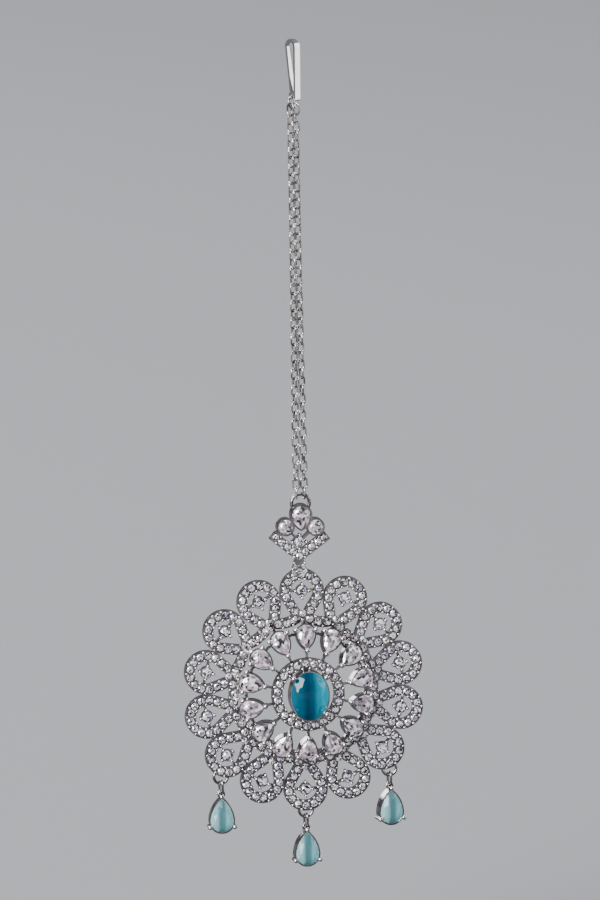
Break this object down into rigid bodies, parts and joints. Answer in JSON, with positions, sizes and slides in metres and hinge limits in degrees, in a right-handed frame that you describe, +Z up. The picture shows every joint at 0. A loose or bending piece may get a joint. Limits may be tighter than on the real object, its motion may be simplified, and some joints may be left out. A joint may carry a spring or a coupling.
{
  "type": "maang tikka",
  "caption": "Forehead ornament: a domed rosette pendant set with stones, with three drops, hanging on a two-strand chain from a hair hook.",
  "frame": {"origin": "inner top of the hair hook, where it hangs", "axes": "+Z up the chain, +X the viewer's right, the jewel faces -Y"},
  "size_m": [0.05, 0.0113, 0.174],
  "materials": {
    "bright_metal": "polished, rhodium plated",
    "chain_metal": "polished, rhodium plated",
    "white_stone": "clear, faceted",
    "teal_stone": "blue-green, faceted",
    "aqua_stone": "pale aqua, faceted"
  },
  "bodies": {
    "hanger": {"hair_hook": "bright_metal", "hook_ring": "bright_metal", "chain_left": "chain_metal", "chain_right": "chain_metal"},
    "pendant": {"medallion_frame": "bright_metal", "centre_stone": "teal_stone", "petal_stone_01": "white_stone", "petal_stone_02": "white_stone", "petal_stone_03": "white_stone", "petal_stone_04": "white_stone", "petal_stone_05": "white_stone", "petal_stone_06": "white_stone", "petal_stone_07": "white_stone", "petal_stone_08": "white_stone", "petal_stone_09": "white_stone", "petal_stone_10": "white_stone", "petal_stone_11": "white_stone", "petal_stone_12": "white_stone", "petal_stone_13": "white_stone", "petal_stone_14": "white_stone", "pear_stone_01": "white_stone", "pear_stone_02": "white_stone", "pear_stone_03": "white_stone", "pear_stone_04": "white_stone", "pear_stone_05": "white_stone", "pear_stone_06": "white_stone", "pear_stone_07": "white_stone", "pear_stone_08": "white_stone", "pear_stone_09": "white_stone", "pear_stone_10": "white_stone", "pear_stone_11": "white_stone", "pear_stone_12": "white_stone", "pear_stone_13": "white_stone", "pear_stone_14": "white_stone", "crown_pear_stone": "white_stone", "crown_left_stone": "white_stone", "crown_right_stone": "white_stone", "crown_small_stone": "white_stone", "drop_link_left": "bright_metal", "drop_setting_left": "bright_metal", "drop_stone_left": "aqua_stone", "drop_link_middle": "bright_metal", "drop_setting_middle": "bright_metal", "drop_stone_middle": "aqua_stone", "drop_link_right": "bright_metal", "drop_setting_right": "bright_metal", "drop_stone_right": "aqua_stone"}
  },
  "joints": [
    {"name": "pendant_swing", "type": "hinge", "parent": "hanger", "child": "pendant", "pos_m": [0, 0, -0.09482], "axis": [1, 0, 0], "range_deg": [-90, 90]}
  ]
}
